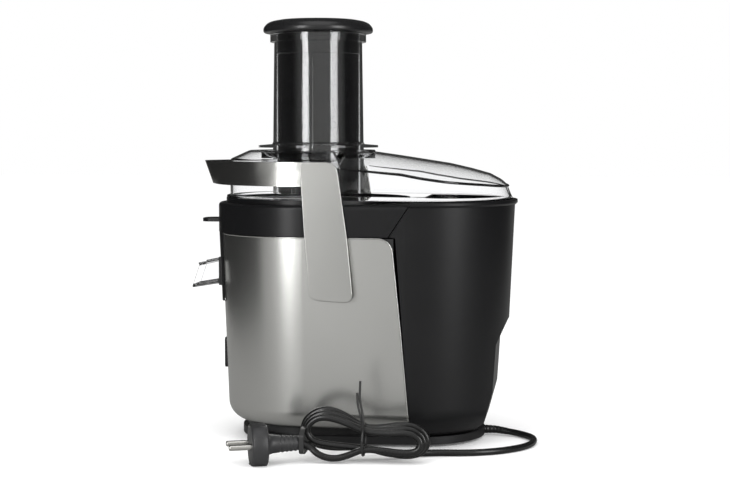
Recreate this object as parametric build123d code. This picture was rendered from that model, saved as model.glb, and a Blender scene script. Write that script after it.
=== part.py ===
from build123d import *
import math
import os

os.makedirs("parts", exist_ok=True)

# ---------------------------------------------------------------- driving dimensions (mm)
# Heights are above the table. Plan places are measured from the spindle, front towards -X.
SPOUT_TIP_X = -116.3          # front-most point
BIN_LIP_R = 92.7              # rear rim radius of the pulp bin
BIN_CENTRE_X = 90.5           # centre of the bin's rear half circle
ORIGIN_X = (SPOUT_TIP_X + BIN_CENTRE_X + BIN_LIP_R) / 2

FOOT_Z = 2.5                  # underside of the base tray
BASE_TOP = 9.5
BASE_FRONT_R = 70.0
BASE_REAR_R = 61.5
BASE_REAR_X = 92.8
NECK_R = 66.0                 # waist between base tray and body
BODY_Z = 16.0                 # underside of the body
BODY_TOP = 187.5
BODY_R_LOW = 82.65            # body radius if the wall ran straight down to BODY_Z
BODY_R_TOP = 89.0
BODY_ROUND = 17.0
SHEET = 0.9                   # stainless sheet
WALL = 2.4                    # moulded walls
GAP = 0.4

DECK_Z = 120.0                # motor deck
DECK_T = 3.0
RING_Z = 188.5                # black ring of the juice bowl
RING_TOP = 216.0
LIP_TOP = 219.5               # raised lip round the bowl's mouth
LIP_R = 84.6
MOUTH_R = 82.0
RING_R = 91.7
SEAM_LOW = (74.0, 186.0)      # slanted seam between bowl ring and bin, (x, z)
SEAM_TOP = (95.0, 217.5)
NOTCH_ANGLE = 20.2            # half width of the front notch for the spout apron, degrees
APRON_ANGLE = 19.5
APRON_Z = 125.0
DUCT_HALF = 16.0
DUCT_Z = (140.0, 162.0)

LID_Z = 219.9                 # underside of the lid
LID_WALL = 2.2
LID_STEP_X = 31.0             # where the front drum meets the wider rear cover
COVER_R = 88.0
LID_R = 81.0
LID_RIM_R = 84.4
LID_TOP = 262.8
TUBE_BORE_R = 37.9            # takes food up to 75 mm across
TUBE_TOP = 368.0
TUBE_FOOT = 223.0
PUSHER_R = 37.2
CAP_R = 50.0
CAP_TOP = 381.0

BASKET_RIM_R = 77.5
GRATER_R = 51.0
GRATER_Z = 155.0

BAIL_PIVOT = (27.0, 148.0)
BAND_R = 92.4                 # inner radius of the bail's band
BAND_T = 1.5
ARM_T = 1.5
BAND_Z = (232.0, 253.0)
NOSE_LOW_X = -98.8            # blunt grip in the middle of the band, flaring upwards
NOSE_TOP_X = -106.3
NOSE_R = 30.0

SHAFT_R = 4.0
RUNNING = 0.04                # radial clearance of the shaft and pivots
LEAD_D = 5.8                  # mains lead


# ---------------------------------------------------------------- helpers
def outline(*corners):
    """Flat face in the XZ plane. Each corner is (x, z) or (x, z, rounding radius)."""
    points = [(c[0], c[1]) for c in corners]
    radii = [c[2] if len(c) == 3 else 0 for c in corners]
    if any(radii):
        return Plane.XZ * make_face(FilletPolyline(*points, radius=radii, close=True))
    return Plane.XZ * make_face(Polyline(*points, close=True))


def turned(*corners):
    """Solid of revolution about the spindle."""
    return revolve(outline(*corners), Axis.Z)


def side_prism(half_width, *corners):
    """Side-view outline extruded across the machine, both ways from the middle."""
    return extrude(outline(*corners), half_width, both=True)


def cylinder(radius, low, high, x=0.0, y=0.0):
    at_foot = (Align.CENTER, Align.CENTER, Align.MIN)
    return Pos(x, y, low) * Cylinder(radius, high - low, align=at_foot)


def tube(outer, inner, low, high, x=0.0, y=0.0):
    return cylinder(outer, low, high, x, y) - cylinder(inner, low - 1, high + 1, x, y)


def block(x, y, z):
    """Box between the two values given for each axis."""
    size = Box(x[1] - x[0], y[1] - y[0], z[1] - z[0])
    return Pos((x[0] + x[1]) / 2, (y[0] + y[1]) / 2, (z[0] + z[1]) / 2) * size


def u_solid(centre_x, reach, *corners):
    """Half a turn of a (radius, height) section, with straight sides run on by reach.

    A positive reach runs the sides towards +X and rounds the front; a negative one rounds the rear.
    """
    section = outline(*corners)
    start = math.copysign(90, reach)
    near = Rot(0, 0, start) * section
    far = Rot(0, 0, -start) * section
    along = (math.copysign(1, reach), 0, 0)
    shape = revolve(near, Axis.Z, 180)
    shape += extrude(near, abs(reach), dir=along)
    shape += extrude(far, abs(reach), dir=along)
    return Pos(centre_x, 0, 0) * shape


def sector(angle, low, high, radius=130.0):
    """Wedge of the given half angle about the front (-X) direction."""
    tip = (-radius, radius * math.tan(math.radians(angle)))
    face = make_face(Polyline((0, 0), tip, (tip[0], -tip[1]), close=True))
    return Pos(0, 0, low) * extrude(face, high - low)


def hull_plate(front_r, rear_r, low, high):
    """Plate whose plan is two circles joined by tangents: the stance of the base."""
    edges = Circle(front_r).edges() + (Pos(BASE_REAR_X, 0) * Circle(rear_r)).edges()
    return Pos(0, 0, low) * extrude(make_hull(edges), high - low)


def around(shape, count, start=0.0):
    """Copies of a shape, evenly turned about the spindle."""
    return [Rot(0, 0, start + 360 * i / count) * shape for i in range(count)]


def both_sides(shape):
    """The shape and its mirror image across the middle plane."""
    return [shape, mirror(shape, Plane.XZ)]


def body_radius(z):
    share = (z - BODY_Z) / (BODY_TOP - BODY_Z)
    return BODY_R_LOW + (BODY_R_TOP - BODY_R_LOW) * share


def drum(inset, floor=0.0, top=BODY_TOP):
    """Solid inside of the body: D plan, slight draft, rounded foot, moved in by inset."""
    low = BODY_Z + inset + floor
    return u_solid(
        0.0,
        110.0,
        (0, low),
        (body_radius(low) - inset, low, BODY_ROUND - inset),
        (body_radius(top) - inset, top),
        (0, top),
    )


def rear_of(shift):
    """Everything behind the body's slanted rear edge, moved rearwards by shift."""
    return side_prism(
        120.0,
        (64.4 + shift, 200),
        (64.4 + shift, 189.6),
        (79.2 + shift, 176.0, 8),
        (86.3 + shift, 104.0),
        (94.6 + shift, 5),
        (240, 5),
        (240, 200),
    )


def write(shape, node):
    export_step(Pos(-ORIGIN_X, 0, 0) * shape, f"parts/{node}.step")


def write_group(shapes, node):
    """One node of several separate solids."""
    moved = [Pos(-ORIGIN_X, 0, 0) * shape for shape in shapes]
    export_step(Compound(children=moved), f"parts/{node}.step")


# ---------------------------------------------------------------- base and feet
FOOT_PLACES = [(-44.0, 40.0), (-44.0, -40.0), (112.0, 36.0), (112.0, -36.0)]
SCREW_PLACES = [(-22.0, 52.0), (-22.0, -52.0), (62.0, 48.0), (62.0, -48.0)]


def base_plate():
    tray = hull_plate(BASE_FRONT_R, BASE_REAR_R, FOOT_Z, BASE_TOP)
    tray -= hull_plate(BASE_FRONT_R - WALL, BASE_REAR_R - WALL, FOOT_Z + WALL, BASE_TOP - WALL)
    for x, y in FOOT_PLACES:
        tray -= cylinder(8.2, 0, FOOT_Z + 1.2, x, y)
    for x, y in SCREW_PLACES:
        tray += cylinder(4.5, FOOT_Z + 1, BASE_TOP, x, y)
        tray -= cylinder(1.9, 0, BASE_TOP + 1, x, y)
        tray -= cylinder(3.6, 0, FOOT_Z + 2, x, y)
    tray -= Pos(GLAND_X - 2, GLAND_Y, GLAND_Z) * Rot(0, 90, 0) * Cylinder(GLAND_R, 26)
    return tray


def rubber_feet():
    return [cylinder(8.0, 0, FOOT_Z + 1.2, x, y) for x, y in FOOT_PLACES]


def housing_screws():
    screws = []
    for x, y in SCREW_PLACES:
        head = cylinder(3.3, FOOT_Z + 0.3, FOOT_Z + 2, x, y)
        screws.append(head + cylinder(1.7, FOOT_Z + 1.5, BODY_Z + 9, x, y))
    return screws


# ---------------------------------------------------------------- body
def steel_wrap():
    wrap = drum(0) - drum(SHEET, top=BODY_TOP + 1)
    wrap -= hull_plate(NECK_R, NECK_R - 6, 0, BODY_Z + 5)
    wrap -= rear_of(0)
    wrap -= sector(NOTCH_ANGLE, APRON_Z - 1, BODY_TOP + 2)
    wrap -= switch_window(0.2)
    for side in (-1, 1):
        wrap -= pivot_hole(side, 7.1)
    return wrap


def pivot_hole(side, radius):
    spot = Pos(BAIL_PIVOT[0], side * 88.0, BAIL_PIVOT[1])
    return spot * Rot(90, 0, 0) * Cylinder(radius, 20)


def inner_housing():
    outer_inset = SHEET + 0.3
    shell = drum(outer_inset, top=BODY_TOP - 0.5)
    shell += hull_plate(NECK_R - 0.4, NECK_R - 6.4, BASE_TOP + 0.1, BODY_Z + 4)
    well = drum(outer_inset + WALL, top=BODY_TOP - WALL)
    well -= hull_plate(NECK_R, NECK_R - 6, 0, BODY_Z + 5)
    shell -= well
    shell -= hull_plate(NECK_R - 4, NECK_R - 10, BASE_TOP + WALL, BODY_Z + 5)
    shell -= cylinder(75.8, DECK_Z, BODY_TOP + 1)
    shell -= side_prism(
        120.0, (80.2, 200), (80.2, 176), (84.9, 104), (93.2, 5), (240, 5), (240, 200)
    )
    shell -= sector(NOTCH_ANGLE, APRON_Z - 1, BODY_TOP + 2)
    shell -= switch_window(0.2)
    for side in (-1, 1):
        shell -= pivot_hole(side, 7.1)
    for x, y in SCREW_PLACES:
        shell += cylinder(4.2, BASE_TOP + 2, BODY_Z + 11, x, y)
        shell -= cylinder(1.72, BASE_TOP - 1, BODY_Z + 9.2, x, y)
    return shell


def rear_cover():
    slab = side_prism(
        120.0,
        (77.6, 184),
        (80.0, 184),
        (80.0, 176),
        (84.7, 104),
        (91.9, 21),
        (89.5, 21),
        (82.3, 104),
        (77.6, 176),
    )
    cover = slab & drum(SHEET + 0.4 + WALL, top=BODY_TOP - WALL - 0.2)
    return cover - cylinder(76.2, DECK_Z + 1, BODY_TOP)


def motor_deck():
    plate = drum(SHEET + 0.4 + WALL) & block((-95, 76.5), (-95, 95), (DECK_Z, DECK_Z + DECK_T))
    plate -= cylinder(22.0, DECK_Z - 1, DECK_Z + DECK_T + 1)
    for x, y in MOUNT_PLACES:
        plate -= cylinder(2.2, DECK_Z - 1, DECK_Z + DECK_T + 1, x, y)
    return plate


def shaft_seal():
    return turned(
        (SHAFT_R + 7.3, DECK_Z - 1),
        (24.5, DECK_Z - 1),
        (24.5, DECK_Z - 0.1),
        (21.9, DECK_Z - 0.1),
        (21.9, DECK_Z + DECK_T + 0.1),
        (24.0, DECK_Z + DECK_T + 0.1),
        (21.0, DECK_Z + DECK_T + 2.2),
        (SHAFT_R + 7.3, DECK_Z + 1),
    )


# ---------------------------------------------------------------- switch
SWITCH_Z = 75.0
SWITCH_X = -86.2


def switch_window(room):
    half = 14.0 + room
    return block((-96, -70), (-half, half), (SWITCH_Z - half, SWITCH_Z + half))


def switch_bezel():
    bezel = block((SWITCH_X, -80.5), (-14, 14), (SWITCH_Z - 14, SWITCH_Z + 14))
    bezel = fillet(bezel.edges().filter_by(Axis.X), 3)
    window = block((-96, -70), (-11, 11), (SWITCH_Z - 11, SWITCH_Z + 11))
    return bezel - window


def switch_body():
    return block((-74.5, -58), (-11, 11), (SWITCH_Z - 11.5, SWITCH_Z + 11.5))


def rocker_button():
    """Rocker with two sloping faces that meet in a shallow valley."""
    rocker = side_prism(
        10.4,
        (-86.4, SWITCH_Z - 9.6),
        (-84.6, SWITCH_Z),
        (-85.2, SWITCH_Z + 9.6),
        (-80.5, SWITCH_Z + 9.6),
        (-76.6, SWITCH_Z + 3),
        (-76.6, SWITCH_Z - 3),
        (-80.5, SWITCH_Z - 9.6),
    )
    return rocker - Pos(-80, 0, SWITCH_Z) * Rot(90, 0, 0) * Cylinder(1.54, 30)


def rocker_pin():
    pin = Pos(-80, 0, SWITCH_Z) * Rot(90, 0, 0) * Cylinder(1.5, 21.6)
    for end in (-1, 1):
        ear = block((-80.4, -74.5), sorted((end * 10.7, end * 12.6)), (SWITCH_Z - 2, SWITCH_Z + 2))
        pin += ear
    return pin


# ---------------------------------------------------------------- motor
MOUNT_PLACES = [(33.0, 8.0), (33.0, -8.0), (-33.0, 8.0), (-33.0, -8.0)]
STATOR_HALF = 32.0
STATOR_Z = (50.0, 82.0)
ROTOR_R = 20.8
AIR_GAP = 0.7


def motor_shaft():
    return cylinder(SHAFT_R, 24, 134)


def stator_core():
    core = block((-STATOR_HALF, STATOR_HALF), (-STATOR_HALF, STATOR_HALF), STATOR_Z)
    core = fillet(core.edges().filter_by(Axis.Z), 9)
    core -= cylinder(ROTOR_R + AIR_GAP, 40, 90)
    for side in (-1, 1):
        core -= block((-13, 13), sorted((side * 17, side * 27)), (40, 90))
    return core


def field_coils():
    """Two windings, one in each stator window, standing out above and below the stack."""
    coils = []
    for side in (-1, 1):
        coil = block((-12.4, 12.4), sorted((side * 22.2, side * 26.6)), (45, 87.5))
        coils.append(fillet(coil.edges().filter_by(Axis.Y), 4))
    return coils


def motor_frame():
    """Bridge over the motor with two legs and a lower bridge that holds the other bearing."""
    frame = block((-40, 40), (-12, 12), (108, 112))
    frame += block((-40, 40), (-12, 12), (38, 42))
    for side in (-1, 1):
        frame += block(sorted((side * 35, side * 40)), (-12, 12), (38, 112))
        frame += block(sorted((side * STATOR_HALF, side * 36)), (-12, 12), (56, 76))
        for y in (-8, 8):
            frame += cylinder(1.9, 111, DECK_Z + DECK_T + 2, side * 33, y)
    frame -= cylinder(8.0, 30, 120)
    return frame


def motor_mounts():
    rings = [tube(4.6, 1.95, 112, DECK_Z, x, y) for x, y in MOUNT_PLACES]
    return rings


def bearing(low, high):
    return tube(8.0, SHAFT_R + RUNNING, low, high)


def armature_core():
    core = tube(ROTOR_R, SHAFT_R, STATOR_Z[0] + 0.5, STATOR_Z[1] - 0.5)
    slot = block((ROTOR_R - 6, ROTOR_R + 2), (-1.1, 1.1), (40, 95))
    for cut in around(slot, 12):
        core -= cut
    return core


def armature_windings():
    lower = turned((SHAFT_R, 44), (13, 44), (18.5, 47), (18.5, 50.5), (SHAFT_R, 50.5))
    upper = turned((SHAFT_R, 81.5), (18.5, 81.5), (18.5, 85), (13, 89), (SHAFT_R, 89))
    return [lower, upper]


def commutator():
    drum_part = tube(11.0, SHAFT_R, 90, 103)
    groove = block((9.8, 12), (-0.25, 0.25), (91, 104))
    for cut in around(groove, 12):
        drum_part -= cut
    return drum_part


def brush_holders():
    holders = []
    for side in (-1, 1):
        holder = block(sorted((side * 14, side * 35)), (-4.5, 4.5), (92, 101))
        holder += block(sorted((side * 11.5, side * 15)), (-3, 3), (93.5, 99.5))
        holders.append(holder)
    return holders


def cooling_fan():
    fan = tube(8.5, SHAFT_R, 25, 36) + tube(33, 8, 25, 26.6)
    blade = block((8, 32.5), (-0.8, 0.8), (26, 36))
    for piece in around(blade, 10):
        fan += piece
    return fan


LUG_COUNT = 3


def drive_coupling():
    coupling = turned((SHAFT_R, 124.5), (10.5, 124.5), (10.5, 147), (8.5, 149), (0, 149), (0, 134),
                      (SHAFT_R, 134))
    lug = block((8, 13.6), (-3, 3), (130, 147))
    for piece in around(lug, LUG_COUNT):
        coupling += piece
    return coupling


def control_board():
    board = block((44, 74), (-24, 24), (24, 25.6))
    board += block((50, 60), (-18, -6), (25.6, 36))
    board += cylinder(5, 25.6, 40, 62, 10)
    for x in (47, 71):
        for y in (-21, 21):
            board += cylinder(2.2, BODY_Z + SHEET + 0.3 + WALL, 24.2, x, y)
    return board


def interlock_switch():
    """Microswitch inside the near wall, closed when the bail stands up."""
    return block((38, 58), (-83.0, -76.5), (128, 139)) + block((46, 50), (-81.5, -78.5), (139, 142))


# ---------------------------------------------------------------- juice bowl
BOWL_R_LOW = 66.0
BOWL_R_SEAT = 74.2
BOWL_FLOOR = 134.0
CHIMNEY_R = 21.0


def behind_seam(shift):
    """Everything behind the slanted seam, moved rearwards by shift."""
    slope = (SEAM_TOP[0] - SEAM_LOW[0]) / (SEAM_TOP[1] - SEAM_LOW[1])
    low = SEAM_LOW[0] + shift - slope * 56
    top = SEAM_TOP[0] + shift + slope * 12.5
    return side_prism(130.0, (low, SEAM_LOW[1] - 56), (top, SEAM_TOP[1] + 12.5), (240, 230), (240, 130))


def juice_bowl():
    skirt = u_solid(
        0, 110, (0, RING_Z), (RING_R, RING_Z), (RING_R, RING_TOP - 1.2, 3), (LIP_R, RING_TOP), (0, RING_TOP)
    )
    hollow = u_solid(
        0, 110, (0, RING_Z - 1), (RING_R - WALL, RING_Z - 1), (RING_R - WALL, RING_TOP - WALL),
        (0, RING_TOP - WALL)
    )
    hollow -= behind_seam(-WALL - 1)
    skirt -= hollow
    cone = turned(
        (0, BOWL_FLOOR), (BOWL_R_LOW, BOWL_FLOOR, 6), (BOWL_R_SEAT, 187), (LIP_R - 0.2, RING_TOP), (0, RING_TOP)
    )
    bowl = skirt + cone + tube(LIP_R, MOUTH_R, RING_TOP - 1, LIP_TOP) - behind_seam(0)
    bowl += apron()
    duct = block((-90.5, -60), (-DUCT_HALF - 2, DUCT_HALF + 2), (DUCT_Z[0] - 2, DUCT_Z[1] + 2))
    bowl += duct
    bowl -= turned(
        (0, BOWL_FLOOR + WALL),
        (BOWL_R_LOW - WALL, BOWL_FLOOR + WALL, 4),
        (BOWL_R_SEAT - WALL, 187),
        (MOUTH_R, RING_TOP + 0.2),
        (MOUTH_R, RING_TOP + 9),
        (0, RING_TOP + 9),
    )
    bowl += cylinder(CHIMNEY_R, BOWL_FLOOR, 147)
    bowl -= cylinder(CHIMNEY_R - 2.5, 0, 160)
    bowl -= block((-100, -50), (-DUCT_HALF, DUCT_HALF), DUCT_Z)
    return bowl + lift_tab()


def apron():
    plate = turned(
        (body_radius(APRON_Z) + 0.3, APRON_Z),
        (body_radius(APRON_Z) + 2.3, APRON_Z),
        (RING_R - 0.2, RING_Z + 2),
        (RING_R - 2.4, RING_Z + 2),
    )
    return plate & sector(APRON_ANGLE, APRON_Z - 5, RING_Z + 5)


def lift_tab():
    tab = block((-108, -RING_R + 1.2), (-13, 13), (196.4, 199.6))
    return fillet(tab.edges().filter_by(Axis.Z).sort_by(Axis.X)[:2], 8)


def spout():
    """Clear spout: a sloping channel, open at the tip, on a flange that stands in the bowl's duct."""
    half = DUCT_HALF - 0.4
    body = side_prism(half, (-62, 140.4), (-62, 161.6), (-91.6, 161.6), (-109, 157.6), (SPOUT_TIP_X, 136),
                      (-91.6, 140.4))
    bore = side_prism(half - 1.8, (-50, 142.4), (-50, 159.6), (-91.6, 159.6), (-125, 152), (-125, 136.8),
                      (-91.6, 142.4))
    return body - bore


# ---------------------------------------------------------------- basket
def basket_hub():
    """Socket over the coupling with an outer skirt round the chimney, so juice can't reach the shaft."""
    hub = turned(
        (0, 150), (14.4, 150), (14.4, 137), (17.4, 137), (17.4, 151), (22.6, 151), (22.6, 141),
        (24.8, 141), (26, GRATER_Z - 0.3), (0, GRATER_Z - 0.3)
    )
    rib = block((11.2, 15.5), (-2.6, 2.6), (137, 150.5))
    for piece in around(rib, LUG_COUNT, 60):
        hub += piece
    return hub


def grater_disc():
    disc = cylinder(GRATER_R, GRATER_Z, GRATER_Z + 1.2)
    tooth = Pos(0, 0, GRATER_Z + 1.1) * Cone(1.3, 0.4, 1.8, align=(Align.CENTER, Align.CENTER, Align.MIN))
    for ring_radius, count in ((20, 10), (32, 16), (44, 22)):
        for piece in around(Pos(ring_radius, 0, 0) * tooth, count):
            disc += piece
    return disc


def sieve_mesh():
    return turned(
        (GRATER_R + 0.6, GRATER_Z + 2.2),
        (GRATER_R + 1.4, GRATER_Z + 2.2),
        (74.4, 213),
        (73.6, 213),
    )


def basket_foot():
    return turned(
        (26.2, GRATER_Z - 3.2),
        (GRATER_R + 3.2, GRATER_Z - 3.2),
        (GRATER_R + 4.2, GRATER_Z + 2.1),
        (GRATER_R + 0.3, GRATER_Z + 2.1),
        (GRATER_R + 0.3, GRATER_Z - 0.3),
        (26.2, GRATER_Z - 0.3),
    )


def basket_rim():
    return turned((72.4, 213.1), (BASKET_RIM_R - 0.6, 213.1), (BASKET_RIM_R, 215.5, 0.8),
                  (BASKET_RIM_R - 1, 217.3), (73.4, 217.3))


def basket_nut():
    foot = GRATER_Z + 1.2
    return turned((0, foot), (9, foot), (8, foot + 3.8), (5, foot + 5.8), (0, foot + 5.8))


# ---------------------------------------------------------------- lid
CREST = [(48, 262), (76, 258), (121, 250.6), (144, 246), (158, 243), (167, 237), (174, 228), (179, 219)]


def rim_plan(radius, low, high):
    """Plate that covers bowl and bin: round front, straight sides, round rear."""
    plan = SlotCenterToCenter(BIN_CENTRE_X, 2 * radius)
    return Pos(BIN_CENTRE_X / 2, 0, low) * extrude(plan, high - low)


def cover_solid(inset):
    """Outer form of the lid, moved in by inset: a drum in front and a crowned, falling back."""
    drum_form = turned(
        (0, 210), (LID_R - inset, 210), (LID_R - inset, 255 - inset), (63 - inset, LID_TOP - inset),
        (0, LID_TOP - inset)
    )
    front = drum_form & block((-100, 0.5), (-100, 100), (200, 300))
    crest = [(x - inset * 0.9, z - inset) for x, z in CREST]
    side = side_prism(
        100.0, (0, 210), (0, LID_TOP - inset), *crest, (179 - inset, 210)
    )
    crown = Plane.YZ * make_face(
        Polyline(
            (-COVER_R + inset, 210),
            (-84 + inset, 247 - inset),
            (-58, 257 - inset),
            (-30, LID_TOP - inset),
            (30, LID_TOP - inset),
            (58, 257 - inset),
            (84 - inset, 247 - inset),
            (COVER_R - inset, 210),
            close=True,
        )
    )
    back = side & extrude(crown, 185) & rim_plan(COVER_R - inset, 200, 280)
    back &= block((LID_STEP_X + inset, 200), (-100, 100), (200, 300))
    return front + (drum_form & side) + back


def lid_cover():
    lid = cover_solid(0)
    lid -= block((-120, 220), (-120, 120), (190, LID_Z))
    lid += cylinder(LID_RIM_R, LID_Z, LID_Z + 1.7) & block((-100, LID_STEP_X), (-100, 100), (200, 300))
    lid -= cover_solid(LID_WALL)
    lid += tube(52.5, 41.9, 254.5, 261)
    return lid - cylinder(41.8, 200, 300)


def feed_tube():
    body = turned(
        (TUBE_BORE_R + 1.1, TUBE_FOOT),
        (41.8, TUBE_FOOT),
        (41.8, 265),
        (55, 265),
        (55, 267),
        (42.5, 268),
        (41.6, 270),
        (40.3, 361),
        (43.9, 361),
        (43.9, TUBE_TOP),
        (TUBE_BORE_R, TUBE_TOP),
    )
    rib = block((-1.4, 1.4), (-TUBE_BORE_R - 1.6, -36.2), (TUBE_FOOT + 2, 346))
    return body + rib


# ---------------------------------------------------------------- pusher
def pusher_body():
    """Hollow cup, closed at the bottom, with a keyway for the tube's rib."""
    cup = turned((0, 222.5), (PUSHER_R, 222.5, 3), (PUSHER_R, 349.5), (37.6, 350.5), (37.6, 368.2),
                 (33.4, 368.2), (33.4, 227), (0, 227))
    guide = block((-4, 4), (-37, -32), (224, 350))
    cup += guide & cylinder(36.8, 223, 351)
    return cup - block((-2.1, 2.1), (-40, -35.2), (220, 350))


def pusher_cap():
    return turned(
        (0, 362), (33.2, 362), (33.2, 368.3), (48.5, 368.3), (CAP_R, 370.2),
        (CAP_R - 0.4, 373.2), (46, 377.2), (44, 377.8), (36, CAP_TOP - 0.6), (24, CAP_TOP), (0, CAP_TOP)
    )


# ---------------------------------------------------------------- pulp bin
def bin_radius(z):
    return body_radius(z) + 0.4


def bin_form(inset, top):
    low = 10.0 + inset
    form = u_solid(
        BIN_CENTRE_X,
        -120.0,
        (0, low),
        (bin_radius(low) - inset - 1.5, low, 28 - inset),
        (bin_radius(top) - inset, top),
        (0, top),
    )
    keep = side_prism(
        130.0,
        (94.9 + inset, 9),
        (82.0 + inset, 187.6 + inset * 0.4),
        (76.4 + inset, 188.6 + inset * 0.4),
        (96.9 + inset, 219.2),
        (190, 219.2),
        (190, 112),
        (176.6 - inset, 112, 4),
        (166.4 - inset, 90, 6),
        (163.6 - inset, 47),
        (156.0 - inset, 19),
        (143.0 - inset, 9),
    )
    return form & keep


def pulp_bin():
    """Open bin behind the body; the lower back steps in as a finger grip."""
    shell = bin_form(0, 214.5)
    rim = u_solid(BIN_CENTRE_X, -120.0, (0, 214), (BIN_LIP_R - 1.4, 214), (BIN_LIP_R, 215.6, 0.8),
                  (BIN_LIP_R, 218.6, 0.8), (0, 218.6))
    rim &= side_prism(130.0, (93.4, 213.9), (96.5, 218.7), (190, 218.7), (190, 213.9))
    shell += rim
    return shell - bin_form(WALL, 219.0)


# ---------------------------------------------------------------- locking bail
def nose_plan(radius, nose_x, nose_r, z):
    """Plan of the band: the round of the lid with a blunt nose in front."""
    edges = Circle(radius).edges() + (Pos(nose_x + nose_r, 0) * Circle(nose_r)).edges()
    return Pos(0, 0, z) * make_hull(edges)


def nosed_solid(radius, nose_low, nose_top, nose_r, low, top):
    faces = [nose_plan(radius, nose_low, nose_r, low), nose_plan(radius, nose_top, nose_r, top)]
    return loft(faces, ruled=True)


def bail_band():
    low, high = BAND_Z
    outer = nosed_solid(BAND_R + BAND_T, NOSE_LOW_X, NOSE_TOP_X, NOSE_R, low, high)
    inner = nosed_solid(BAND_R, NOSE_LOW_X + 1.9, NOSE_TOP_X + 1.9, NOSE_R - BAND_T, low - 0.001, high + 0.001)
    band = (outer - inner) & block((-130, 0), (-120, 120), (low, high))
    for side in both_sides(block((0, 24), (BAND_R, BAND_R + BAND_T), BAND_Z)):
        band += side
    return band


def bail_arm():
    face = outline(
        (-0.5, 252.6), (31, 252.6, 4), (40.5, 189), (45.9, 131.4, 8), (8, 136.6, 8), (3.3, 189)
    )
    arm = extrude(face, ARM_T)
    return Pos(0, -BAND_R - BAND_T, 0) * arm


def bail_stud():
    """Stub pin welded inside each arm; it turns in the bush in the body's side."""
    length = BAND_R + BAND_T - 82.0
    return Pos(BAIL_PIVOT[0], -82.0 - length / 2, BAIL_PIVOT[1]) * Rot(90, 0, 0) * Cylinder(4.0, length)


def pivot_bush():
    place = Pos(BAIL_PIVOT[0], -86.0, BAIL_PIVOT[1]) * Rot(90, 0, 0)
    flange = Pos(BAIL_PIVOT[0], -90.6, BAIL_PIVOT[1]) * Rot(90, 0, 0)
    bush = place * Cylinder(7.0, 6.0) + flange * Cylinder(9.0, 3.6)
    return bush - place * Cylinder(4.0 + RUNNING, 40)


def bail_pad():
    return block((4, 24), (-BAND_R, -BAND_R + 1.2), (234, 246))


# ---------------------------------------------------------------- mains lead
GLAND_X = 153.8
GLAND_Y = 6.0
GLAND_Z = 5.9
GLAND_R = 2.8
SLEEVE_R = 3.6
PLUG_AT = (-26.7, -148.0, 16.8)
PLUG_TURN = 20.0              # yaw of the plug from the front direction, degrees
PLUG_R = 18.6
PLUG_FLAT = 33.5              # across the flats that carry the earth contacts
PIN_SPACING = 19.0
PIN_LENGTH = 19.0
HANK_Y = (-136.0, -114.0)
WAIST_X = 60.0                # where the wire tie holds the bundle
WAIST_Z = (8.4, 31.0)
NECK_TIE_X = (6.0, 10.0)
NECK_TIE_Z = (8.0, 29.0)
LEAD_EXIT = (164.5, 7.5, 5.2)
LEAD_ROUTE = [
    LEAD_EXIT,
    (178.3, 5.1, 3.8),
    (190.1, -2.4, 3.0),
    (198.1, -13.9, 3.0),
    (201.1, -27.6, 3.0),
    (198.3, -47.4, 3.0),
    (187.0, -66.2, 3.0),
    (167.8, -82.3, 3.0),
    (144.6, -91.7, 3.0),
    (120.7, -93.4, 3.0),
    (98.0, -100.5, 4.5),
    (82.0, -116.0, 9.0),
]


def lead_radii(route):
    """Arc radius at each inner point: as large as its two runs allow."""
    radii = []
    for before, here, after in zip(route, route[1:], route[2:]):
        to_here = Vector(*here) - Vector(*before)
        onward = Vector(*after) - Vector(*here)
        turn = math.radians(to_here.get_angle(onward))
        radii.append(0.45 * min(to_here.length, onward.length) / math.tan(turn / 2))
    return radii


def cord_tube():
    radii = lead_radii(LEAD_ROUTE)
    print("lead radii", [round(r, 1) for r in radii])
    path = FilletPolyline(*LEAD_ROUTE, radius=radii)
    start = Plane(origin=path @ 0, z_dir=path % 0)
    lead = sweep(start * Circle(LEAD_D / 2), path=path)
    area = math.pi * (LEAD_D / 2) ** 2
    print("lead length", round(path.length, 1), "volume over section", round(lead.volume / area, 1))
    return lead


def cord_gland():
    """Strain relief: a plug in the base's rear end and a short tapering sleeve along the lead."""
    aim = Vector(*LEAD_EXIT) - Vector(GLAND_X, GLAND_Y, GLAND_Z)
    frame = Plane(origin=LEAD_EXIT, z_dir=aim)
    sleeve = frame * Cone(SLEEVE_R, LEAD_D / 2 + 0.3, aim.length - 1.2,
                          align=(Align.CENTER, Align.CENTER, Align.MAX))
    root = Pos(GLAND_X - 4, GLAND_Y, GLAND_Z) * Rot(0, 90, 0) * Cylinder(GLAND_R - 0.05, 14)
    return root + sleeve


def cord_hank():
    """Outer shape of the tied bundle, standing on edge: two lobes with a waist at the tie."""
    face = outline(
        (4, 14, 8), (24, 5.5, 16), (40, 0.4, 10), (62, 8, 14), (92, 0.2, 24), (119, 2, 16), (118, 30, 16),
        (92, 38.5, 24), (60, 30.5, 18), (24, 48, 20), (4, 37, 12)
    )
    hank = extrude(face, HANK_Y[1] - HANK_Y[0])
    return Pos(0, HANK_Y[1], 0) * hank


def plug_frame():
    """Plane through the plug's centre, its local Z towards the lead."""
    turn = math.radians(PLUG_TURN)
    return Plane(origin=PLUG_AT, x_dir=(math.sin(turn), -math.cos(turn), 0),
                 z_dir=(math.cos(turn), math.sin(turn), 0))


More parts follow.
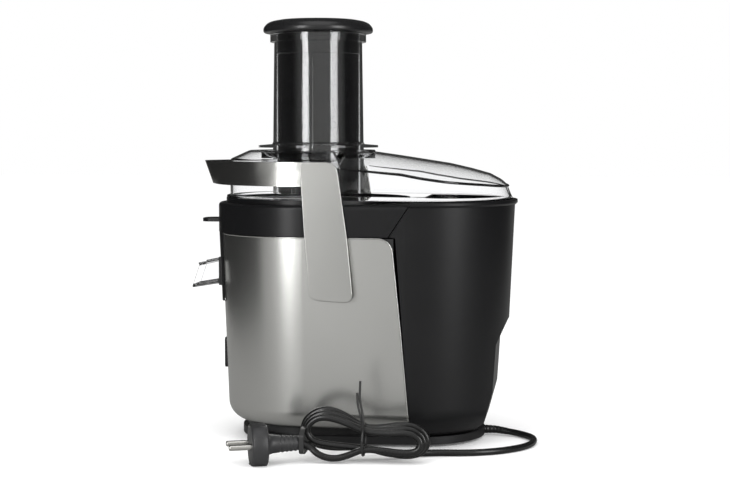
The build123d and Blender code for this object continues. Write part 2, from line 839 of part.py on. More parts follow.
def plug_body():
    """Round two-pin earthed plug: a disc with two flats that carry the earth contacts, and a tapering neck."""
    at = plug_frame()
    disc = Cylinder(PLUG_R, 14, align=(Align.CENTER, Align.CENTER, Align.CENTER))
    disc &= Box(2 * PLUG_R, PLUG_FLAT, 14)
    body = fillet(disc.edges(), 1.6)
    neck = Pos(0, 0, 6.5) * Cone(12.5, 5.4, 30, align=(Align.CENTER, Align.CENTER, Align.MIN))
    body += neck
    for side in (-1, 1):
        body -= Pos(0, side * PLUG_FLAT / 2, -2.5) * Box(7, 2.4, 11)
    return at * body


def plug_pins():
    at = plug_frame()
    pins = []
    for side in (-1, 1):
        pin = Cylinder(2.4, PIN_LENGTH, align=(Align.CENTER, Align.CENTER, Align.MAX))
        pin = Pos(side * PIN_SPACING / 2, 0, -7) * pin
        pins.append(at * fillet(pin.edges().sort_by(Axis.Z)[0], 1.2))
    return pins


def plug_contacts():
    at = plug_frame()
    return [at * Pos(0, side * (PLUG_FLAT / 2 - 0.7), -2.5) * Box(4, 0.9, 10.6) for side in (-1, 1)]


def strap(x_range, y_range, z_range, thickness):
    """Closed strap of rectangular outline round the bundle, in a plane across X."""
    inner_y = (y_range[0] + thickness, y_range[1] - thickness)
    inner_z = (z_range[0] + thickness, z_range[1] - thickness)
    middle = sum(x_range) / 2
    return block(x_range, y_range, z_range) - block((middle - 9, middle + 9), inner_y, inner_z)


def twist_tie():
    """Wire tie round the waist of the bundle, its two ends standing up."""
    tie = strap((WAIST_X - 1.5, WAIST_X + 1.5), (HANK_Y[0] - 1.2, HANK_Y[1] + 1.2),
                (WAIST_Z[0] - 1.2, WAIST_Z[1] + 1.2), 1.2)
    top = WAIST_Z[1] + 0.6
    ends = [Polyline((60, -126, top), (62, -126, 48), (58, -126, 71)),
            Polyline((60, -124, top), (59, -124, 44), (55.5, -124, 61))]
    for path in ends:
        start = Plane(origin=path @ 0, z_dir=path % 0)
        tie += sweep(start * Circle(0.8), path=path, transition=Transition.RIGHT)
    return tie


def neck_tie():
    """Strap that holds the plug's neck to the front end of the bundle."""
    return strap(NECK_TIE_X, (HANK_Y[0] - 6.5, HANK_Y[1] - 4), NECK_TIE_Z, 1.5)


# ---------------------------------------------------------------- write every node
SINGLE = {
    "base_plate": base_plate,
    "inner_housing": inner_housing,
    "steel_wrap": steel_wrap,
    "rear_cover": rear_cover,
    "motor_deck": motor_deck,
    "shaft_seal": shaft_seal,
    "switch_bezel": switch_bezel,
    "switch_body": switch_body,
    "rocker_pin": rocker_pin,
    "rocker_button": rocker_button,
    "motor_frame": motor_frame,
    "stator_core": stator_core,
    "motor_shaft": motor_shaft,
    "armature_core": armature_core,
    "commutator": commutator,
    "cooling_fan": cooling_fan,
    "drive_coupling": drive_coupling,
    "control_board": control_board,
    "interlock_switch": interlock_switch,
    "juice_bowl": juice_bowl,
    "spout": spout,
    "basket_hub": basket_hub,
    "grater_disc": grater_disc,
    "sieve_mesh": sieve_mesh,
    "basket_foot": basket_foot,
    "basket_rim": basket_rim,
    "basket_nut": basket_nut,
    "lid_cover": lid_cover,
    "feed_tube": feed_tube,
    "pusher_body": pusher_body,
    "pusher_cap": pusher_cap,
    "pulp_bin": pulp_bin,
    "bail_band": bail_band,
    "cord_gland": cord_gland,
    "cord_tube": cord_tube,
    "cord_hank": cord_hank,
    "plug_body": plug_body,
    "twist_tie": twist_tie,
    "neck_tie": neck_tie,
}
GROUPS = {
    "rubber_feet": rubber_feet,
    "housing_screws": housing_screws,
    "field_coils": field_coils,
    "motor_mounts": motor_mounts,
    "armature_windings": armature_windings,
    "brush_holders": brush_holders,
    "plug_pins": plug_pins,
    "plug_contacts": plug_contacts,
}
for node, make in SINGLE.items():
    write(make(), node)
for node, make in GROUPS.items():
    write_group(make(), node)
for node, make in (("bail_arm", bail_arm), ("bail_stud", bail_stud), ("bail_bush", pivot_bush),
                   ("bail_pad", bail_pad)):
    near, far = both_sides(make())
    write(near, f"{node}_right")
    write(far, f"{node}_left")
write(bearing(106, 114), "bearing_upper")
write(bearing(37, 43.4), "bearing_lower")
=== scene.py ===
import math

import bmesh
import bpy
import numpy as np
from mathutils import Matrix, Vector


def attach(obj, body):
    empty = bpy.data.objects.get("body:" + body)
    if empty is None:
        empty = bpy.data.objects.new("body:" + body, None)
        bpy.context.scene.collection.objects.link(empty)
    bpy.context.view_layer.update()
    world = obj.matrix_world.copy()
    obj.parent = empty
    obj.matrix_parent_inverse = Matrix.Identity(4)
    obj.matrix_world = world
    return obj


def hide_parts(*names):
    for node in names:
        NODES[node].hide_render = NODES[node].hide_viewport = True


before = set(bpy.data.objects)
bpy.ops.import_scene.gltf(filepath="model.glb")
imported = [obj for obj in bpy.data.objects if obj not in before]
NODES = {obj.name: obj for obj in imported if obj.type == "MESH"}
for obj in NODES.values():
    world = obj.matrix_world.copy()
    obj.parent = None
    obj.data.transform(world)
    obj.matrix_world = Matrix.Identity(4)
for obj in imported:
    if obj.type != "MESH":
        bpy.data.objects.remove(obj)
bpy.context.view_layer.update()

SCENE = bpy.context.scene
SPINDLE_X = -0.03345          # spindle's place in the shared frame, metres


def here(x, y, z):
    """Millimetres measured from the spindle, numbers or arrays, as points of the shared frame in metres."""
    x, y, z = np.broadcast_arrays(x, y, z)
    return np.stack([x / 1000 + SPINDLE_X, y / 1000, z / 1000], axis=-1)


def placed(name, data):
    """Object at the origin that shows the given data in the scene."""
    shown = bpy.data.objects.new(name, data)
    SCENE.collection.objects.link(shown)
    return shown


# ---------------------------------------------------------------- camera
TARGET = Vector((0.00985, 0.0, 0.177))
BACK = Vector((0.13881, -0.98767, 0.07239))       # from the target towards the lens
REACH = 1.435                                     # from the target to the lens, metres
camera_data = bpy.data.cameras.new("camera")
camera_data.sensor_fit = "HORIZONTAL"
camera_data.sensor_width = 36.0
camera_data.lens = 76.78
camera_data.clip_start = 0.05
camera_data.clip_end = 60.0
camera = placed("camera", camera_data)
camera.location = TARGET + BACK.normalized() * REACH
camera.rotation_mode = "QUATERNION"
camera.rotation_quaternion = (-BACK).to_track_quat("-Z", "Y")
SCENE.camera = camera

# ---------------------------------------------------------------- mains lead, millimetres from the spindle
LEAD_D = 5.8
LEAD_ORDER = 3                # the lead is a chain of smoothly joined parabolas
LEAD_EXIT = (164.5, 7.5, 5.2)
LEAD_ROUTE = [
    LEAD_EXIT, (178.3, 5.1, 3.8), (190.1, -2.4, 3.0), (198.1, -13.9, 3.0), (201.1, -27.6, 3.0),
    (198.3, -47.4, 3.0), (187.0, -66.2, 3.0), (167.8, -82.3, 3.0), (144.6, -91.7, 3.0),
    (120.7, -93.4, 3.0), (98.0, -102.5, 3.6), (82.0, -112.0, 3.6),
]
LEAD_TO_PLUG = [(48, -135.2, 7.0), (35, -136.6, 3.6), (22, -137.2, 7.4)]
PLUG_AT = (-26.7, -148.0, 16.8)
PLUG_TURN = math.radians(20)
NECK_LENGTH = 36.5
TURNS = 3
# One turn of the tied bundle seen from the near side, (x, z): along the bottom to the front, over the
# tall front lobe, through the waist and round the longer rear lobe.
TURN = (
    (60, 10.6), (46, 10.2), (31, 9.4), (17, 11.6), (8, 18.5), (5.6, 28), (11, 37.5),
    (22, 43.6), (33, 43.4), (44, 38.4), (53, 32.2), (62, 28.6), (73, 29.4), (85, 32.2),
    (98, 33.4), (109.5, 29.4), (116, 20.5), (113.5, 9.5), (103, 3.4), (90, 3.1), (75, 7.0),
)
FIRST_TURN_Y = -116
TURN_PITCH = 5.7              # how far nearer the front each turn lies
TURN_INSET = 2.4              # how far inside the one before each turn lies, in the lobes
WAIST_X, WAIST_Z = 60, 19     # middle of the waist, where the wire holds the bundle
WAIST_REACH = 8               # how far along the bundle the waist's strands stay level
WAIST_INSET = 0.6             # how far inside the one before each turn lies, at the waist
FRONT_SPINE_X = (24, 50)      # reach of the line that the front lobe's turns close in on
FRONT_SPINE_Z, FRONT_SPINE_FALL = 26, 0.12
REAR_SPINE_X = (78, 100)      # the same for the rear lobe, whose line is level
REAR_SPINE_Z = 18
INSET_REACH = 26              # distance from the waist at which the inset is full
LOWEST_Z = 3.1                # height of the lead's centre where it rests on the table


def hank_point(count):
    """Centre of the lead after count steps of the tied bundle, which stands on edge.

    Each turn lies one pitch nearer the front than the last and is moved in towards the spine of its
    lobe, by an inset that grows with the distance from the waist. At the waist it only moves in height.
    """
    x, z = TURN[count % len(TURN)]
    turns = count / len(TURN)
    y = FIRST_TURN_Y - TURN_PITCH * turns
    if abs(x - WAIST_X) < WAIST_REACH:
        return (x, y, z + math.copysign(WAIST_INSET * turns, WAIST_Z - z))
    if x < WAIST_X:
        spine_x = min(max(x, FRONT_SPINE_X[0]), FRONT_SPINE_X[1])
        spine_z = FRONT_SPINE_Z - FRONT_SPINE_FALL * (spine_x - FRONT_SPINE_X[0])
    else:
        spine_x = min(max(x, REAR_SPINE_X[0]), REAR_SPINE_X[1])
        spine_z = REAR_SPINE_Z
    dx, dz = spine_x - x, spine_z - z
    share = min(abs(x - WAIST_X) / INSET_REACH, 1.0)
    inset = WAIST_INSET + (TURN_INSET - WAIST_INSET) * share
    move = inset * turns / math.hypot(dx, dz)
    return (x + dx * move, y, max(z + dz * move, LOWEST_Z))


def neck_end():
    """Where the lead enters the plug's neck."""
    return (PLUG_AT[0] + NECK_LENGTH * math.cos(PLUG_TURN),
            PLUG_AT[1] + NECK_LENGTH * math.sin(PLUG_TURN), PLUG_AT[2])


def lead_points():
    """Every control point of the lead, from the strain relief to the plug."""
    x, y, z = neck_end()
    bundle = [hank_point(i) for i in range(TURNS * len(TURN) + 1)]
    return LEAD_ROUTE + bundle + LEAD_TO_PLUG + [(x + 6.5, y + 0.8, z - 1.6), (x - 5, y - 1.8, z)]


def sampled_curve(order, points, per_point=12):
    """Points along the smooth curve that the control points steer, and its length.

    De Boor's rule on evenly spread knots: of the control points near a value, each two neighbours are
    blended by how far the value lies between their knots, until one point is left.
    """
    degree = order - 1
    count = len(points)
    inner = np.linspace(0, 1, count - degree + 1)
    knots = np.concatenate([np.zeros(degree), inner, np.ones(degree)])
    values = np.linspace(0, 1 - 1e-9, count * per_point)
    span = np.clip(np.searchsorted(knots, values, "right") - 1, degree, count - 1)
    local = [np.array(points)[span - degree + i] for i in range(order)]
    for level in range(1, order):
        for i in range(degree, level - 1, -1):
            first = knots[span - degree + i]
            last = knots[span + 1 + i - level]
            share = ((values - first) / (last - first))[:, None]
            local[i] = (1 - share) * local[i - 1] + share * local[i]
    track = local[degree]
    return track, float(np.linalg.norm(np.diff(track, axis=0), axis=1).sum())


def nurbs_cord(name, points, radius):
    """Round cord along the smooth curve that the points steer.

    The bevel depth of one metre is scaled by each point's own radius, which keeps the curve's bounding
    box to the cord itself.
    """
    data = bpy.data.curves.new(name, "CURVE")
    data.dimensions = "3D"
    data.resolution_u = 8
    data.bevel_depth = 1.0
    data.bevel_resolution = 5
    data.use_fill_caps = True
    spline = data.splines.new("NURBS")
    spline.points.add(len(points) - 1)
    for point, place in zip(spline.points, points):
        point.co = (*place, 1.0)
        point.radius = radius
    spline.order_u = LEAD_ORDER
    spline.use_endpoint_u = True
    return placed(name, data)


LEAD_POINTS = [tuple(point) for point in here(*np.array(lead_points()).T).tolist()]
LEAD_TRACK, LEAD_LENGTH = sampled_curve(LEAD_ORDER, LEAD_POINTS)
lead = nurbs_cord("mains_lead", LEAD_POINTS, LEAD_D / 2000)
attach(lead, "base")
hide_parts("cord_tube", "cord_hank")


# ---------------------------------------------------------------- helpers for new pieces
def mesh_piece(name, points, faces, smooth=True):
    """Object at the origin from points in metres and rows of corner numbers."""
    data = bpy.data.meshes.new(name)
    data.from_pydata(np.asarray(points, float).tolist(), [], [[int(k) for k in face] for face in faces])
    data.update()
    if smooth:
        data.shade_smooth()
    return placed(name, data)


def grid_faces(rows, columns, wrap, closed=False):
    """Quads between neighbouring rows and columns of a grid.

    They close round the columns where wrap is true, and from the last row to the first where closed is.
    """
    i, j = np.meshgrid(np.arange(rows if closed else rows - 1),
                       np.arange(columns if wrap else columns - 1), indexing="ij")
    k = (j + 1) % columns
    below, above = i * columns, (i + 1) % rows * columns
    return np.stack([below + j, below + k, above + k, above + j], axis=-1).reshape(-1, 4)


def evenly(track, count):
    """Distances and places of count points at even steps along a track."""
    track = np.asarray(track, float)
    lengths = np.linalg.norm(np.diff(track, axis=0), axis=1)
    travelled = np.concatenate([[0], np.cumsum(lengths)])
    distances = np.linspace(0, travelled[-1], count)
    places = [np.interp(distances, travelled, axis) for axis in track.T]
    return distances, np.stack(places, axis=1)


def swept(name, track, radii, sides=20):
    """Closed round tube: centre + radius * (side * cos a + up * sin a), with a going once round.

    The side lies level and square to the track, up is square to both, and flat caps close the ends.
    """
    track = np.asarray(track, float)
    ways = np.gradient(track, axis=0)
    ways /= np.linalg.norm(ways, axis=1)[:, None]
    side = np.cross(ways, (0, 0, 1.0))
    side /= np.linalg.norm(side, axis=1)[:, None]
    up = np.cross(side, ways)
    angles = 2 * np.pi * np.arange(sides) / sides
    rings = side[:, None] * np.cos(angles)[:, None] + up[:, None] * np.sin(angles)[:, None]
    radii = np.broadcast_to(radii, len(track))
    points = track[:, None] + radii[:, None, None] * rings
    first_cap = np.arange(sides)[::-1]
    last_cap = np.arange(sides) + (len(track) - 1) * sides
    piece = mesh_piece(name, points.reshape(-1, 3),
                       [*grid_faces(len(track), sides, True), first_cap, last_cap])
    piece.data.flip_normals()
    return piece


def roll_edges(piece, width, segments, angle=None):
    """Rounds a piece's edges by width, in metres; with an angle, only those that fold more than it."""
    bevel = piece.modifiers.new("edges", "BEVEL")
    bevel.width = width
    bevel.segments = segments
    if angle is not None:
        bevel.limit_method = "ANGLE"
        bevel.angle_limit = math.radians(angle)
        bevel.harden_normals = True


def thicken(piece, thickness, offset=-1.0):
    """Gives a sheet surface a wall, in metres."""
    solid = piece.modifiers.new("wall", "SOLIDIFY")
    solid.thickness = thickness
    solid.offset = offset
    solid.use_even_offset = True


def softened(node, name, width, segments=3, angle=32):
    """Copy of a frame part, its doubled corners joined and its edges rounded by width, in metres."""
    source = NODES[node]
    data = source.data.copy()
    piece = placed(name, data)
    piece.matrix_world = source.matrix_world.copy()
    work = bmesh.new()
    work.from_mesh(data)
    bmesh.ops.remove_doubles(work, verts=work.verts, dist=1e-6)
    work.to_mesh(data)
    work.free()
    if "custom_normal" in data.attributes:
        data.attributes.remove(data.attributes["custom_normal"])
    data.update()
    data.polygons.foreach_set("use_smooth", [True] * len(data.polygons))
    roll_edges(piece, width, segments, angle)
    return piece


def corner_curve(before, corner, after, size, steps):
    """Parabola that cuts a corner off: it starts and ends size away from the corner, which steers it."""
    before, corner, after = (np.array(place, float) for place in (before, corner, after))
    first = corner + (before - corner) / np.linalg.norm(before - corner) * size
    last = corner + (after - corner) / np.linalg.norm(after - corner) * size
    t = np.linspace(0, 1, steps)[:, None]
    return (1 - t) ** 2 * first + 2 * t * (1 - t) * corner + t * t * last


def rounded(profile, radius, steps=5):
    """Open profile with its inner corners cut off by curves of that size, or less where they are close."""
    track = np.array(profile, float)
    out = [track[:1]]
    for before, corner, after in zip(track, track[1:], track[2:]):
        room = min(np.linalg.norm(before - corner), np.linalg.norm(after - corner))
        out.append(corner_curve(before, corner, after, min(radius, 0.45 * room), steps))
    return np.vstack([*out, track[-1:]])


def lathe(name, profile, turns=(0.0, 360.0), steps=128):
    """Surface of revolution about the spindle, between two angles in degrees.

    Each (radius, height) of the profile, in millimetres, swings to x = radius * cos a, y = radius * sin a.
    """
    full = turns == (0.0, 360.0)
    angles = np.linspace(*np.radians(turns), steps if full else steps + 1, endpoint=not full)
    radius, height = np.array(profile, float).T[:, :, None]
    points = here(radius * np.cos(angles), radius * np.sin(angles), height)
    return mesh_piece(name, points.reshape(-1, 3), grid_faces(len(profile), len(angles), full))


# ---------------------------------------------------------------- strain relief, plug and ties
SLEEVE_ROOT = here((151.5, 158.0), (5.8, 6.8), (5.6, 5.5))     # its run inside the base's rear wall
SLEEVE_REACH = 0.011                                           # its run along the lead, metres
SLEEVE_RADIUS, SLEEVE_TAPER = 0.0039, 0.0008
SLEEVE_RIB, SLEEVE_RIB_PITCH = 0.00018, 0.0036


def strain_relief():
    """Tapering sleeve on the lead's root: radius falls evenly, with a clipped sine of the distance as ribs."""
    near = np.linalg.norm(LEAD_TRACK - LEAD_TRACK[0], axis=1) < SLEEVE_REACH
    near &= (LEAD_TRACK[:, 1] > -0.02) & (LEAD_TRACK[:, 0] < 0.16)
    distances, track = evenly(np.vstack([SLEEVE_ROOT, LEAD_TRACK[near]]), 110)
    share = distances / distances[-1]
    ribs = SLEEVE_RIB * np.clip(np.sin(2 * np.pi * distances / SLEEVE_RIB_PITCH), -0.6, 0.6)
    ribbed = (share > 0.12) & (share < 0.93)
    piece = swept("strain_relief", track, SLEEVE_RADIUS - SLEEVE_TAPER * share + np.where(ribbed, ribs, 0), 24)
    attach(piece, "base")
    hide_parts("cord_gland")
    return piece


# The plug's outline, (reach towards the neck, radius), with its ribbed neck between the two parts.
PLUG_DISC = ((-7.0, 0.01), (-7.0, 16.6), (-6.6, 17.9), (-5.6, 18.6), (5.2, 18.6), (6.3, 18.2),
             (7.0, 17.0), (7.4, 10.4), (9.0, 8.9), (12.0, 8.0), (16, 7.5))
PLUG_COLLAR = ((35.2, 6.1), (36.3, 5.6), (36.6, 4.6), (36.6, 0.01))
DISC_REACH = 7.2              # where the two flats of the disc end
DISC_FLAT = 16.75             # height of the flats over the plug's axis
NECK_RIB, NECK_RIB_PITCH = 0.45, 3.7


def plug_shell():
    """Moulded plug: a disc with two flats that carry the earth contacts, a rounded shoulder and a ribbed neck.

    Each ring is place + wide * radius * cos a + up * radius * sin a across the plug's axis, and on the
    disc the rise is cut off at the flats. The neck tapers evenly, with a clipped sine of the reach as ribs.
    """
    neck = 16.3 + 0.42 * np.arange(44)
    ribs = NECK_RIB * np.clip(np.sin(2 * np.pi * (neck - 16) / NECK_RIB_PITCH), -0.5, 0.5)
    taper = 7.3 - 1.1 * (neck - 16) / 18
    profile = np.vstack([PLUG_DISC, np.stack([neck, taper + ribs], axis=1), PLUG_COLLAR])
    reach, radius = profile.T[:, :, None]
    sides = 72
    angles = 2 * np.pi * np.arange(sides) / sides
    flat = np.where(reach < DISC_REACH, DISC_FLAT, np.inf)
    rise = np.clip(radius * np.sin(angles), -flat, flat)
    breadth = radius * np.cos(angles)
    points = here(PLUG_AT[0] + math.cos(PLUG_TURN) * reach + math.sin(PLUG_TURN) * breadth,
                  PLUG_AT[1] + math.sin(PLUG_TURN) * reach - math.cos(PLUG_TURN) * breadth,
                  PLUG_AT[2] + rise)
    piece = mesh_piece("plug_shell", points.reshape(-1, 3), grid_faces(len(profile), sides, True))
    piece.data.flip_normals()
    piece.data.set_sharp_from_angle(angle=math.radians(42))
    return piece


STRAP_CORNERS = ((-141.8, 10), (-141.8, 24), (-134, 28), (-122, 28.5),
                 (-116, 24), (-115, 12), (-122, 8.5), (-136, 8))            # (y, z)
STRAP_X, STRAP_WIDTH, STRAP_THICKNESS = 9, 0.0042, 0.0009                   # millimetres; metres


def strap_loop(name):
    """Flat strap round a closed run of corners, softened by averaging each point with its neighbours.

    At each point the section is a rectangle: half the width to either side, and the thickness outwards.
    """
    corners = np.array(STRAP_CORNERS + STRAP_CORNERS[:1], float)
    loop = evenly(here(STRAP_X, *corners.T), 97)[1][:-1]
    for _ in range(3):
        loop = (np.roll(loop, 1, axis=0) + 2 * loop + np.roll(loop, -1, axis=0)) / 4
    out = loop - loop.mean(axis=0)
    out[:, 0] = 0
    out *= STRAP_THICKNESS / np.linalg.norm(out, axis=1)[:, None]
    wide = np.array((STRAP_WIDTH / 2, 0, 0))
    points = np.stack([loop - wide, loop + wide, loop + wide + out, loop - wide + out], axis=1)
    faces = grid_faces(len(loop), 4, True, closed=True)
    piece = mesh_piece(name, points.reshape(-1, 3), faces, smooth=False)
    piece.data.flip_normals()
    roll_edges(piece, STRAP_THICKNESS * 0.3, 2)
    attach(piece, "base")
    return piece


def wire_end(name, points):
    """Twisted-wire end standing up from the waist of the bundle, its bends averaged out."""
    track = evenly(here(*np.array(points, float).T), 50)[1]
    for _ in range(14):
        track[1:-1] = (track[:-2] + 2 * track[1:-1] + track[2:]) / 4
    piece = swept(name, track, 0.0010, 8)
    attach(piece, "base")
    return piece


sleeve = strain_relief()
plug = plug_shell()
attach(plug, "base")
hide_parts("plug_body")
neck_strap = strap_loop("neck_strap")
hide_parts("neck_tie")
round_waist = np.linspace(math.pi * 0.5, math.pi * 2.5, 60)
waist_wire = swept("waist_wire", here(WAIST_X + 0.5 * np.sin(round_waist), -125.5 + 12.6 * np.cos(round_waist),
                                      19.2 + 13.4 * np.sin(round_waist)), 0.0011, 10)
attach(waist_wire, "base")
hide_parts("twist_tie")
wire_ends = [
    wire_end("wire_end_long", ((60, -137.5, 31), (61.5, -138.5, 36), (60.5, -137.5, 44), (58, -137, 56),
                               (58.5, -136.5, 71))),
    wire_end("wire_end_short", ((60, -136.5, 31), (59.5, -137.5, 39), (56.5, -137, 50), (55.8, -136.5, 61))),
]

# ---------------------------------------------------------------- lid
LID_BASE_Z = 220.0
CREST_X = (31, 48, 76, 121.5, 141.6, 158, 168, 174.2)      # ridge of the rear half
CREST_Z = (262.8, 262, 258, 251, 246.4, 241.9, 236.6, 231.5)
EAVE_X = (31, 44, 75, 86, 103, 125, 155, 174.2)            # fold between its wall and its roof
EAVE_Z = (248.5, 246.6, 243.5, 242.5, 239.2, 235.8, 232.9, 230.5)
LID_REAR_X = 90.5                                          # centre of the plan's round rear end
LID_FOOT_R, LID_EAVE_R, EAVE_ROD_R = 88.0, 83.6, 83.8
THROAT_R = 43.5                                            # open under the feed tube


def lid_back():
    """Rear half of the lid: drafted walls on a round-ended plan, and a roof arched across.

    Up the wall, x and y go evenly from foot to eave while the height goes as t to the power 1.15. Across
    the roof, from t = -1 to 1, the height is eave + (crest - eave) * (1 - |t| to the power 2.1).
    """
    straight = np.linspace(31.0, 90.0, 22)
    turn = np.radians(np.linspace(0, 88.5, 34))

    def plan(radius):
        """Stations along the straight side and round the rear end, as columns x and y."""
        x = np.concatenate([straight, LID_REAR_X + radius * np.sin(turn)])
        y = np.concatenate([np.full(len(straight), radius), radius * np.cos(turn)])
        return x[:, None], y[:, None]

    foot_x, foot_y = plan(LID_FOOT_R)
    eave_x, eave_y = plan(LID_EAVE_R)
    eave = np.interp(eave_x, EAVE_X, EAVE_Z)
    crest = np.maximum(np.interp(eave_x, CREST_X, CREST_Z), eave)
    up = np.linspace(0, 1, 6)[:-1]
    across = np.linspace(-1, 1, 33)
    wall_x = foot_x + (eave_x - foot_x) * up
    wall_y = foot_y + (eave_y - foot_y) * up
    wall_z = LID_BASE_Z + (eave - LID_BASE_Z) * up ** 1.15
    roof_z = eave + (crest - eave) * (1 - np.abs(across) ** 2.1)
    x = np.hstack([wall_x, np.repeat(eave_x, len(across), axis=1), wall_x[:, ::-1]])
    y = np.hstack([-wall_y, eave_y * across, wall_y[:, ::-1]])
    z = np.hstack([wall_z, roof_z, wall_z[:, ::-1]])
    faces = grid_faces(*x.shape, False)
    middles = np.stack([x.ravel(), y.ravel()], axis=1)[faces].mean(axis=1)
    faces = faces[np.hypot(*middles.T) > THROAT_R]
    piece = mesh_piece("lid_back", here(x, y, z).reshape(-1, 3), faces)
    piece.data.set_sharp_from_angle(angle=math.radians(14))
    thicken(piece, 0.0019, 1.0)
    return piece


def lid_step():
    """Two upright webs that close the step between the front drum and the wider rear half."""
    side = np.array((-1, 1))[:, None]
    points = here(31, side * (74.9, 87.6, 83.4, 74.9), (LID_BASE_Z, LID_BASE_Z, 247.5, 250.5))
    piece = mesh_piece("lid_step", points.reshape(-1, 3), ((0, 1, 2, 3), (4, 5, 6, 7)), smooth=False)
    thicken(piece, 0.002, 0.0)
    return piece


def lid_eave(name, side):
    """Thick moulded fold where the rear half's wall meets its roof, a tapering rod along the eave; its dark tint
    is painted shade along the fold.
    """
    straight = np.linspace(36, 90, 30)
    turn = np.radians(np.linspace(3, 86, 30))
    x = np.concatenate([straight, LID_REAR_X + EAVE_ROD_R * np.sin(turn)])
    y = side * np.concatenate([np.full(len(straight), EAVE_ROD_R), EAVE_ROD_R * np.cos(turn)])
    radii = 0.0004 + 0.0008 * np.clip(np.linspace(0, 2.2, len(x)), 0, 1)
    return swept(name, here(x, y, np.interp(x, EAVE_X, EAVE_Z)), radii, 10)


DRUM_PROFILE = ((84.2, 220.0), (84.2, 221.7), (81, 221.9), (81, 254.5), (63, 262.6), (52.4, 262.8))
CROWN_PROFILE = ((42.2, 262.8), (52.5, 262.8), (52.5, 255.0))
drum_wall = lathe("lid_drum", rounded(DRUM_PROFILE, 2.2), (67.5, 292.5), 120)
drum_wall.data.set_sharp_from_angle(angle=math.radians(30))
thicken(drum_wall, 0.002)
crown_ring = lathe("lid_crown", rounded(CROWN_PROFILE, 1.2))
thicken(crown_ring, 0.0018, 1.0)
eaves = [lid_eave("lid_eave_right", -1), lid_eave("lid_eave_left", 1)]
lid_pieces = [drum_wall, crown_ring, lid_back(), lid_step(), *eaves]
for piece in lid_pieces:
    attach(piece, "lid")
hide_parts("lid_cover")

# ---------------------------------------------------------------- pusher's cap
CAP_UNDERSIDE = ((0.01, 362.2), (33.2, 362.2), (33.2, 368.4), (41, 368.5))
CAP_BRIM = ((41, 368.5), (45.5, 368.6), (50, 369.4), (50.3, 373.4), (47.2, 377.6), (43, 379.6), (36, 380.9))
CAP_TOP = ((30, 381.3), (20, 381.5), (10, 381.6), (0.01, 381.6))
cap = lathe("pusher_knob", np.vstack([CAP_UNDERSIDE, rounded(CAP_BRIM, 2.6, 6), CAP_TOP]))
cap.data.set_sharp_from_angle(angle=math.radians(50))
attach(cap, "pusher")
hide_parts("pusher_cap")

# ---------------------------------------------------------------- bail
# Side plate seen from the side, (x, z, size of the corner's curve).
ARM_CORNERS = ((-0.8, 252.8, 3.5), (31.4, 252.8, 8.5), (40.6, 189, 0),
               (46.1, 131.2, 9), (7.6, 133.6, 8), (3.2, 189, 0))
ARM_INNER_Y, ARM_OUTER_Y = 92.35, 94.5


def plate_outline(corners, steps=7):
    """Closed outline with each corner cut off by a curve of its own size."""
    out = []
    for i, (x, z, size) in enumerate(corners):
        before, after = corners[i - 1][:2], corners[(i + 1) % len(corners)][:2]
        out.append(corner_curve(before, (x, z), after, size, steps) if size else np.array([[x, z]]))
    return np.vstack(out)


def bail_plate(name, side):
    """Side plate of the bail: a flat sheet of the arm's outline with softly rolled edges."""
    x, z = plate_outline(ARM_CORNERS).T
    points = np.vstack([here(x, side * ARM_INNER_Y, z), here(x, side * ARM_OUTER_Y, z)])
    count = len(x)
    i = np.arange(count)
    j = (i + 1) % count
    rim = np.stack([i, i + count, j + count, j], axis=1)
    piece = mesh_piece(name, points, [i, i[::-1] + count, *rim])
    if side > 0:
        piece.data.flip_normals()
    roll_edges(piece, 0.0007, 3, 40)
    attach(piece, "bail")
    return piece


arms = [bail_plate("bail_plate_right", -1), bail_plate("bail_plate_left", 1)]
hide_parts("bail_arm_right")
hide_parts("bail_arm_left")
band = softened("bail_band", "bail_hoop", 0.0005)
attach(band, "bail")
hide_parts("bail_band")


# ---------------------------------------------------------------- edges of the spout, drawn as dark rods of painted shade
def spout_line(name, side, z_root, x_lip, z_lip):
    """Straight rod along one long edge of the spout, from the bowl to the spout's lip; its dark tint is painted
    shade along that edge.
    """
    t = np.linspace(0, 1, 12)
    rod = swept(name, here(-90 + (x_lip + 90) * t, side * 15.0, z_root + (z_lip - z_root) * t), 0.0009, 10)
    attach(rod, "bowl")
    return rod


spout_lines = [
    spout_line("spout_brim_right", -1, 161.8, -110, 157.6),
    spout_line("spout_brim_left", 1, 161.8, -110, 157.6),
    spout_line("spout_keel_right", -1, 140.4, -115.6, 136.2),
    spout_line("spout_keel_left", 1, 140.4, -115.6, 136.2),
]

# ---------------------------------------------------------------- edges of the steel wrap
WRAP_R, WRAP_TOP_Z = 89.0, 187.3
CORNER_X, CORNER_Z, CORNER_R = 66.3, 174.4, 12.9           # the wrap's upper rear corner
FOOT_Z, FOOT_R = 32.5, 16.5                                # the wrap's turned-in lower edge
CORNER_END = 5.6                                           # degrees at which the slanted edge begins


def body_side(z):
    """Half width of the steel wrap at a height, millimetres."""
    return 82.65 + 6.35 * (z - 16) / 171.5


def rear_edge(z):
    """How far back the steel reaches at a height below its rounded corner."""
    return np.interp(z, (5, 104, 176), (94.6, 86.3, 79.2))


